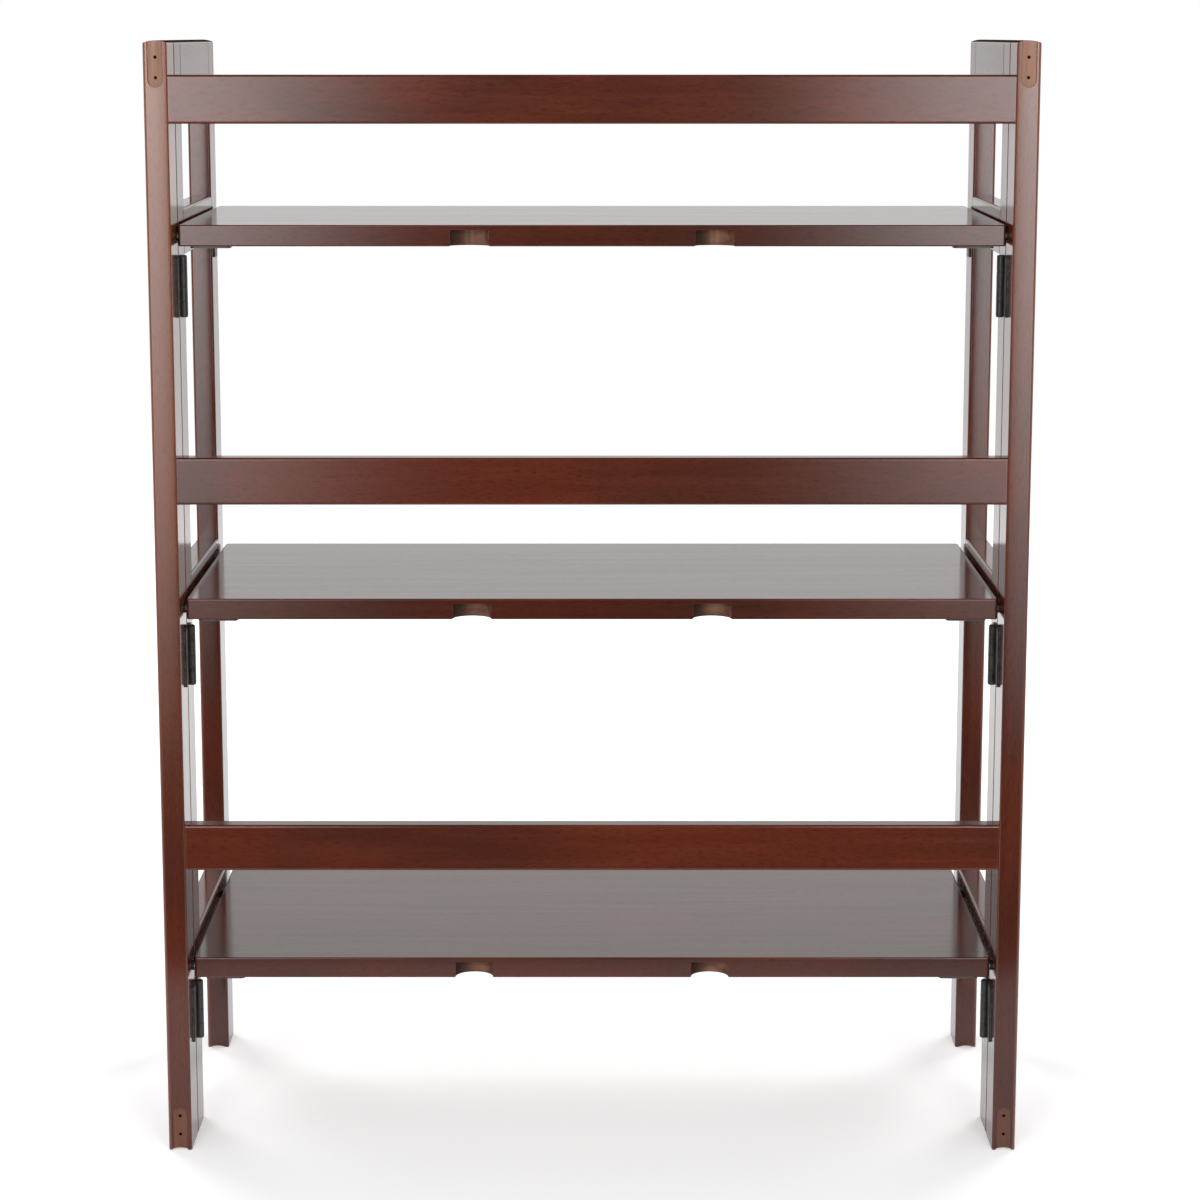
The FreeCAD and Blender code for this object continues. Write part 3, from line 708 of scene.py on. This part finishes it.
draw = random.Random(SEED)
boards = 0
for node_name in sorted(NODES):
    axis = next((a for start, a in GRAIN_AXIS.items() if node_name.startswith(start)), None)
    if axis is None:
        continue
    offset = tuple(draw.uniform(-OFFSET_REACH, OFFSET_REACH) for _ in range(3))
    tone = OWN_TONE.get(node_name, draw.uniform(*TONES))
    thin_at_ends = THIN_AT_ENDS.get(node_name, (0.0, 0.0))
    finish = stained_wood(node_name, axis, offset, tone, thin_at_ends)
    NODES[node_name].material_slots[0].material = finish
    boards += 1
print("boards finished:", boards)

# %% [markdown]
# ## Black steel
#
# The hinges, the plates under the shelves, the small brackets and their screws are mild steel,
# blackened and oiled or thinly painted. That gives a dark grey with a soft sheen, a fine
# orange-peel texture, and edges rubbed a little brighter where leaves and knuckles meet.

# %% Black steel finish
STEEL_DARK = "#282626"
STEEL_LIGHT = "#3c3a39"
STEEL_RUBBED = "#66625d"
STEEL_CLOUD = 6 * MM  # a patch of thicker or thinner blacking
STEEL_PATCHES = (0.35, 0.7)
STEEL_ROUGHNESS = (0.3, 0.46)
STEEL_SPECKLE = 0.8 * MM
STEEL_SPECKLE_HEIGHT = 0.02 * MM
STEEL_WEAR = 0.7 * MM
RUBBED_PATCHES = (0.4, 0.65)
RUBBED_SHARES = (0.1, 0.7)  # the least and the most that shows of a rubbed edge


def black_steel(name, low, high):
    """Blackened steel, rubbed at the edges of one piece's box."""
    material, tree = new_material("blackened_steel_" + name)
    place = add(tree, "ShaderNodeTexCoord").outputs["Object"]
    cloud = noise(tree, place, STEEL_CLOUD, detail=4.0)
    speckle = noise(tree, place, STEEL_SPECKLE, detail=2.0)
    colour = blend_colours(tree, fade(tree, cloud, *STEEL_PATCHES), STEEL_DARK, STEEL_LIGHT)
    edges = edge_mask(tree, place, low, high, STEEL_WEAR)
    worn = fade(tree, cloud, *RUBBED_PATCHES, *RUBBED_SHARES)
    worn = calculate(tree, "MULTIPLY", edges, worn)
    sockets = {
        "Base Color": blend_colours(tree, worn, colour, STEEL_RUBBED),
        "Roughness": fade(tree, cloud, *NOISE_RANGE, *STEEL_ROUGHNESS),
        "Normal": bump(tree, STEEL_SPECKLE_HEIGHT, speckle, strength=0.4).outputs[0],
    }
    principled(tree, sockets)
    return material


STEEL_PIECES = ("hinge_post_leaf", "hinge_stile_leaf", "hinge_pins", "corner_plate_", "front_support_")
steel = 0
for node_name in sorted(NODES):
    if node_name.startswith(STEEL_PIECES) and "screws" not in node_name:
        low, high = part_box(node_name)
        NODES[node_name].material_slots[0].material = black_steel(node_name, low, high)
        steel += 1
print("steel pieces finished:", steel)

# %% [markdown]
# ## Nylon, zinc and raw beech
#
# The shelf pins turn in black nylon bushes, moulded, so matt with the finest spark-eroded
# texture. The pins are turned steel with a pale zinc plating, which keeps the lathe's rings. The
# dowels are raw beech, and are seen only when the case is taken apart.

# %% Small finishes
NYLON_DARK = "#111111"
NYLON_LIGHT = "#1e1d1d"
NYLON_ROUGHNESS = (0.42, 0.58)
NYLON_IOR = 1.53
NYLON_FLOW = 5 * MM
SPARK = 0.5 * MM
SPARK_HEIGHT = 0.03 * MM
ZINC_DARK = "#a9aaa8"
ZINC_LIGHT = "#c9c9c4"
ZINC_ROUGHNESS = (0.22, 0.36)
SPANGLE = 3 * MM
LATHE_RING = 0.35 * MM
LATHE_STRETCH = 0.05  # a ring runs on round the pin
LATHE_HEIGHT = 0.02 * MM
BEECH_DARK = "#c79a6c"
BEECH_LIGHT = "#deb98d"
BEECH_PORES = "#9b6c45"
BEECH_ROUGHNESS = (0.6, 0.72)
BEECH_OFFSET = (0.3, 0.7, 0.2)


def nylon():
    """Moulded black nylon."""
    material, tree = new_material("moulded_black_nylon")
    place = add(tree, "ShaderNodeTexCoord").outputs["Object"]
    sparks = noise(tree, place, SPARK, detail=2.0)
    flow = noise(tree, place, NYLON_FLOW)
    sockets = {
        "Base Color": blend_colours(tree, flow, NYLON_DARK, NYLON_LIGHT),
        "Roughness": fade(tree, sparks, *NOISE_RANGE, *NYLON_ROUGHNESS),
        "IOR": NYLON_IOR,
        "Normal": bump(tree, SPARK_HEIGHT, sparks, strength=0.5).outputs[0],
    }
    principled(tree, sockets)
    return material


def zinc():
    """Zinc-plated steel, turned along X."""
    material, tree = new_material("zinc_plated_turned_steel")
    place = add(tree, "ShaderNodeTexCoord").outputs["Object"]
    sockets = {"Vector": place, "Scale": (1.0, LATHE_STRETCH, LATHE_STRETCH)}
    rings = add(tree, "ShaderNodeMapping", sockets).outputs[0]
    rings = noise(tree, rings, LATHE_RING, detail=2.0)
    spangle = noise(tree, place, SPANGLE)
    sockets = {
        "Base Color": blend_colours(tree, spangle, ZINC_DARK, ZINC_LIGHT),
        "Metallic": 1.0,
        "Roughness": fade(tree, rings, *NOISE_RANGE, *ZINC_ROUGHNESS),
        "Normal": bump(tree, LATHE_HEIGHT, rings, strength=0.4).outputs[0],
    }
    principled(tree, sockets)
    return material


def beech(axis):
    """Raw beech, its grain along the dowel."""
    material, tree = new_material("raw_beech_along_" + axis)
    place = add(tree, "ShaderNodeTexCoord").outputs["Object"]
    bands, pores, _, blotches = grain_patterns(tree, place, axis, BEECH_OFFSET)
    colour = blend_colours(tree, fade(tree, bands, *NOISE_RANGE), BEECH_DARK, BEECH_LIGHT)
    pores = calculate(tree, "MULTIPLY", pores, PORE_SHARE)
    sockets = {
        "Base Color": blend_colours(tree, pores, colour, BEECH_PORES),
        "Roughness": fade(tree, blotches, *NOISE_RANGE, *BEECH_ROUGHNESS),
        "Normal": bump(tree, GRAIN_HEIGHT, bands, strength=0.5).outputs[0],
    }
    principled(tree, sockets)
    return material


nylon_finish = nylon()
NODES["pivot_bushes"].material_slots[0].material = nylon_finish
zinc_finish = zinc()
for level in LEVELS:
    NODES["pivot_pins_" + level].material_slots[0].material = zinc_finish
NODES["back_frame_dowels"].material_slots[0].material = beech("X")
side_dowel_finish = beech("Y")
for side_name in SIDES:
    NODES["side_frame_dowels_" + side_name].material_slots[0].material = side_dowel_finish
print("small finishes done")

# %% [markdown]
# ## The screws
#
# Every leaf, plate and bracket is held by small countersunk wood screws with a cross recess and a
# coarse thread. The drawn screws are plain, so they are made again here with Geometry Nodes: one
# screw is built once, then set on every place where a screw goes. That is the way for anything
# that repeats, because one change to the screw changes them all.
#
# The first half of the tree makes the screw itself, pointing up from its head: a flat cone for
# the head, a thin core with a helix round it for the thread, and a cone for the point. Two bars
# are cut out of the head.

# %% One screw as nodes
screw_tree = bpy.data.node_groups.new("countersunk_wood_screw", "GeometryNodeTree")
SCREW_SIZES = {
    "Head radius": 3.0 * MM,
    "Thread radius": 1.5 * MM,
    "Core radius": 1.0 * MM,
    "Head height": 1.6 * MM,
    "Length": 13.0 * MM,
    "Thread pitch": 1.3 * MM,
    "Point length": 2.5 * MM,
    "Recess length": 3.4 * MM,
    "Recess width": 0.75 * MM,
    "Recess depth": 0.9 * MM,
}
screw_tree.interface.new_socket("Places", in_out="INPUT", socket_type="NodeSocketGeometry")
for size_name, size in SCREW_SIZES.items():
    socket = screw_tree.interface.new_socket(size_name, in_out="INPUT", socket_type="NodeSocketFloat")
    socket.default_value = size
screw_tree.interface.new_socket("Finish", in_out="INPUT", socket_type="NodeSocketMaterial")
screw_tree.interface.new_socket("Screws", in_out="OUTPUT", socket_type="NodeSocketGeometry")
given = add(screw_tree, "NodeGroupInput").outputs
print("named sizes of the screw:", len(SCREW_SIZES))


# %% Screw body
HEAD_SIDES = 32
CORE_SIDES = 16
POINT_RADIUS = 0.15 * MM


def shifted(tree, geometry, z):
    """Geometry moved up by z."""
    place = add(tree, "ShaderNodeCombineXYZ", {"Z": z}).outputs[0]
    sockets = {"Geometry": geometry, "Translation": place}
    return add(tree, "GeometryNodeTransform", sockets).outputs[0]


def cone(tree, base, top, height, sides):
    """A closed cone or rod that stands on its base."""
    sockets = {"Vertices": sides, "Radius Bottom": base, "Radius Top": top, "Depth": height}
    return add(tree, "GeometryNodeMeshCone", sockets).outputs["Mesh"]


core = given["Core radius"]
neck_start = given["Head height"]
head = cone(screw_tree, given["Head radius"], given["Thread radius"], neck_start, HEAD_SIDES)
shank_end = calculate(screw_tree, "SUBTRACT", given["Length"], given["Point length"])
shank_length = calculate(screw_tree, "SUBTRACT", shank_end, neck_start)
shank = cone(screw_tree, core, core, shank_length, CORE_SIDES)
shank = shifted(screw_tree, shank, neck_start)
point = cone(screw_tree, core, POINT_RADIUS, given["Point length"], CORE_SIDES)
point = shifted(screw_tree, point, shank_end)
print("body nodes:", len(screw_tree.nodes))

# %% [markdown]
# The thread is a spiral curve with a small triangle swept along it. The number of turns is the
# threaded length divided by the pitch, so a longer screw gets more turns by itself.

# %% Screw thread and recess
TURN_STEPS = 12  # straight pieces in one turn of the thread

ridge = calculate(screw_tree, "SUBTRACT", given["Thread radius"], core)
ridge_middle = calculate(screw_tree, "SUBTRACT", given["Thread radius"], ridge)
sockets = {
    "Resolution": TURN_STEPS,
    "Rotations": calculate(screw_tree, "DIVIDE", shank_length, given["Thread pitch"]),
    "Start Radius": ridge_middle,
    "End Radius": ridge_middle,
    "Height": shank_length,
}
spiral = add(screw_tree, "GeometryNodeCurveSpiral", sockets).outputs[0]
sockets = {"Resolution": 3, "Radius": ridge}
triangle = add(screw_tree, "GeometryNodeCurvePrimitiveCircle", sockets, mode="RADIUS")
sockets = {"Curve": spiral, "Profile Curve": triangle.outputs["Curve"], "Fill Caps": True}
thread = add(screw_tree, "GeometryNodeCurveToMesh", sockets).outputs[0]
thread = shifted(screw_tree, thread, neck_start)

sockets = {"X": given["Recess length"], "Y": given["Recess width"]}
sockets["Z"] = calculate(screw_tree, "MULTIPLY", given["Recess depth"], 2.0)
bar_size = add(screw_tree, "ShaderNodeCombineXYZ", sockets).outputs[0]
bar = add(screw_tree, "GeometryNodeMeshCube", {"Size": bar_size}).outputs["Mesh"]
sockets = {"Geometry": bar, "Rotation": (0.0, 0.0, math.pi / 2)}
crossing = add(screw_tree, "GeometryNodeTransform", sockets).outputs[0]
cut_head = add(screw_tree, "GeometryNodeMeshBoolean", {"Mesh 1": head}, operation="DIFFERENCE")
screw_tree.links.new(bar, cut_head.inputs["Mesh 2"])
screw_tree.links.new(crossing, cut_head.inputs["Mesh 2"])
print("nodes with thread and recess:", len(screw_tree.nodes))

# %% [markdown]
# The second half sets the screw on its places. Each place is a point that carries the direction in
# which its screw is driven, and the screw is turned to it. The tree ends by making the copies real
# and giving them their finish.

# %% Screws on their places
whole = add(screw_tree, "GeometryNodeJoinGeometry")
for part in (cut_head.outputs["Mesh"], shank, point, thread):
    screw_tree.links.new(part, whole.inputs[0])
sockets = {"Name": "driven"}
driven = add(screw_tree, "GeometryNodeInputNamedAttribute", sockets, data_type="FLOAT_VECTOR")
sockets = {"Vector": driven.outputs[0]}
turned = add(screw_tree, "FunctionNodeAlignRotationToVector", sockets, axis="Z")
sockets = {"Points": given["Places"], "Instance": whole.outputs[0], "Rotation": turned.outputs[0]}
copies = add(screw_tree, "GeometryNodeInstanceOnPoints", sockets).outputs[0]
real = add(screw_tree, "GeometryNodeRealizeInstances", {"Geometry": copies}).outputs[0]
sockets = {"Geometry": real, "Material": given["Finish"]}
done = add(screw_tree, "GeometryNodeSetMaterial", sockets).outputs[0]
add(screw_tree, "NodeGroupOutput", {"Screws": done})
print("whole tree:", len(screw_tree.nodes), "nodes")

# %% [markdown]
# ## Where the screws go
#
# The places follow from the drawn pieces: three in a row down each hinge leaf, two on each
# bracket, and two on each plate. Screws that share a body and a length are one set.

# %% Screw places
LEAF_SCREW_SPACING = 17.0 * MM
LEAF_SCREW_REACH = 10.5 * MM
BRACKET_SCREW_SPACING = 11.0 * MM
BRACKET_FIRST_SCREW = 6.6 * MM  # its height over the bracket's lower end
PLATE_SCREW_SPACING = 18.0 * MM
PLATE_SCREW_LENGTH = 12.0 * MM
SHEET = {"hinge": 1.6 * MM, "front": 1.8 * MM, "corner": 1.6 * MM}

pins_low, pins_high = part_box("hinge_pins")
hinge_y = (pins_low.y + pins_high.y) / 2


def driven_out(low, high, sheet):
    """The way out of the case through an upright sheet, and the X of its inner face."""
    out = 1 if low.x > 0 else -1
    wood_x = high.x if out > 0 else low.x
    return Vector((out, 0, 0)), wood_x - out * sheet


def leaf_places(leaf_name, toward):
    """Three screws down a leaf, on the side of the pin that toward says."""
    low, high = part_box(leaf_name)
    drive, head_x = driven_out(low, high, SHEET["hinge"])
    y = hinge_y + toward * LEAF_SCREW_REACH
    middle = (low.z + high.z) / 2
    steps = [middle + n * LEAF_SCREW_SPACING for n in (-1, 0, 1)]
    return [(Vector((head_x, y, z)), drive) for z in steps]


def bracket_places(bracket_name):
    """Two screws through a bracket's upright leg."""
    low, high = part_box(bracket_name)
    drive, head_x = driven_out(low, high, SHEET["front"])
    y = (low.y + high.y) / 2
    first = low.z + BRACKET_FIRST_SCREW
    steps = (first, first + BRACKET_SCREW_SPACING)
    return [(Vector((head_x, y, z)), drive) for z in steps]


def plate_places(plate_name):
    """Two screws up through a plate."""
    low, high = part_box(plate_name)
    middle = (low + high) / 2
    steps = (middle.x - PLATE_SCREW_SPACING / 2, middle.x + PLATE_SCREW_SPACING / 2)
    return [(Vector((x, middle.y, low.z)), Vector((0, 0, 1))) for x in steps]


print("hinge line at y =", round(hinge_y, 4))


# %% Making the screws
def make_screws(piece_name, places, length, sheet, body, replaced):
    """One set of screws as one mesh, riding on its body in place of the drawn ones."""
    points = bpy.data.meshes.new(piece_name + "_places")
    points.from_pydata([place for place, _ in places], [], [])
    attribute = points.attributes.new("driven", "FLOAT_VECTOR", "POINT")
    for n, (_, drive) in enumerate(places):
        attribute.data[n].vector = drive
    builder = bpy.data.objects.new(piece_name + "_builder", points)
    bpy.context.scene.collection.objects.link(builder)
    modifier = builder.modifiers.new("screws", "NODES")
    modifier.node_group = screw_tree
    items = screw_tree.interface.items_tree
    sockets = {item.name: item.identifier for item in items if item.in_out == "INPUT"}
    modifier[sockets["Length"]] = length
    modifier[sockets["Head height"]] = sheet
    modifier[sockets["Finish"]] = screw_finish
    finished = builder.evaluated_get(bpy.context.evaluated_depsgraph_get())
    mesh = bpy.data.meshes.new_from_object(finished)
    bpy.data.objects.remove(builder)
    mesh.name = piece_name
    piece = bpy.data.objects.new(piece_name, mesh)
    bpy.context.scene.collection.objects.link(piece)
    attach(piece, body)
    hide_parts(replaced)
    print(piece_name, "screws:", len(places), "faces:", len(mesh.polygons))


FAR = Vector((9.0, 9.0, 9.0))  # so far out that the whole of a screw counts as worn edge
screw_finish = black_steel("screws", FAR, FAR)
long_screw = SCREW_SIZES["Length"]

places = []
for side_name in SIDES:
    for level in LEVELS:
        places += leaf_places(f"hinge_post_leaf_{side_name}_{level}", -1)
sheet = SHEET["hinge"]
make_screws("post_leaf_screws", places, long_screw, sheet, "back_frame", "hinge_post_screws")
for side_name in SIDES:
    body = side_name + "_side_frame"
    places = []
    for level in LEVELS:
        places += leaf_places(f"hinge_stile_leaf_{side_name}_{level}", 1)
    sheet = SHEET["hinge"]
    replaced = "hinge_stile_screws_" + side_name
    make_screws("stile_leaf_screws_" + side_name, places, long_screw, sheet, body, replaced)
    places = []
    for level in LEVELS:
        places += bracket_places(f"front_support_{side_name}_{level}")
    sheet = SHEET["front"]
    replaced = "front_support_screws_" + side_name
    make_screws("bracket_screws_" + side_name, places, long_screw, sheet, body, replaced)
for level in LEVELS:
    body = f"shelf_{level}_body"
    places = []
    for side_name in SIDES:
        places += plate_places(f"corner_plate_{side_name}_{level}")
    sheet = SHEET["corner"]
    replaced = "corner_plate_screws_" + level
    make_screws("plate_screws_" + level, places, PLATE_SCREW_LENGTH, sheet, body, replaced)

# %% [markdown]
# ## The catches of the lowest shelf
#
# A small black catch sits in the inner face of each side, just above the lowest shelf. It stands
# out less than the gap beside the shelf is wide, so the shelf can pass it. Each catch is turned: one
# list gives how far each ring stands out from the wood and how wide it is, and the rings are joined
# into a skin.

# %% Catches
CATCH_Y = 68.0 * MM
CATCH_RISE = 3.0 * MM  # its middle above the shelf's top
CATCH_SUNK = 1.0 * MM
CATCH_RINGS = [(0.4, 2.9), (0.5, 2.8), (0.5, 2.3), (1.4, 2.2), (1.8, 1.7), (2.0, 0.9)]  # mm
CATCH_SIDES = 24


def turned_catch(piece_name, base, out):
    """A catch that stands out from base along X, to the side that out says."""
    rings = [(-CATCH_SUNK, CATCH_RINGS[0][1] * MM)]
    rings += [(far_out * MM, radius * MM) for far_out, radius in CATCH_RINGS]
    points = []
    for far_out, radius in rings:
        for n in range(CATCH_SIDES):
            angle = n * math.tau / CATCH_SIDES
            turn = Vector((0.0, math.cos(angle), math.sin(angle) * out))
            points.append(base + Vector((out * far_out, 0.0, 0.0)) + radius * turn)
    faces = [tuple(reversed(range(CATCH_SIDES)))]
    for ring in range(len(rings) - 1):
        first = ring * CATCH_SIDES
        second = first + CATCH_SIDES
        for n in range(CATCH_SIDES):
            after = (n + 1) % CATCH_SIDES
            faces.append((first + n, first + after, second + after, second + n))
    faces.append(tuple(range(len(points) - CATCH_SIDES, len(points))))
    mesh = bpy.data.meshes.new(piece_name)
    mesh.from_pydata(points, [], faces)
    mesh.materials.append(nylon_finish)
    piece = bpy.data.objects.new(piece_name, mesh)
    bpy.context.scene.collection.objects.link(piece)
    return piece


shelf_top_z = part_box("shelf_lower")[1].z
for side_name, side in SIDES.items():
    low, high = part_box(f"side_rail_{side_name}_lower")
    inner_x = high.x if side < 0 else low.x
    base = Vector((inner_x, CATCH_Y, shelf_top_z + CATCH_RISE))
    catch = turned_catch("shelf_catch_" + side_name, base, -side)
    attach(catch, side_name + "_side_frame")
    print(catch.name, "stands at", tuple(round(value, 4) for value in base))
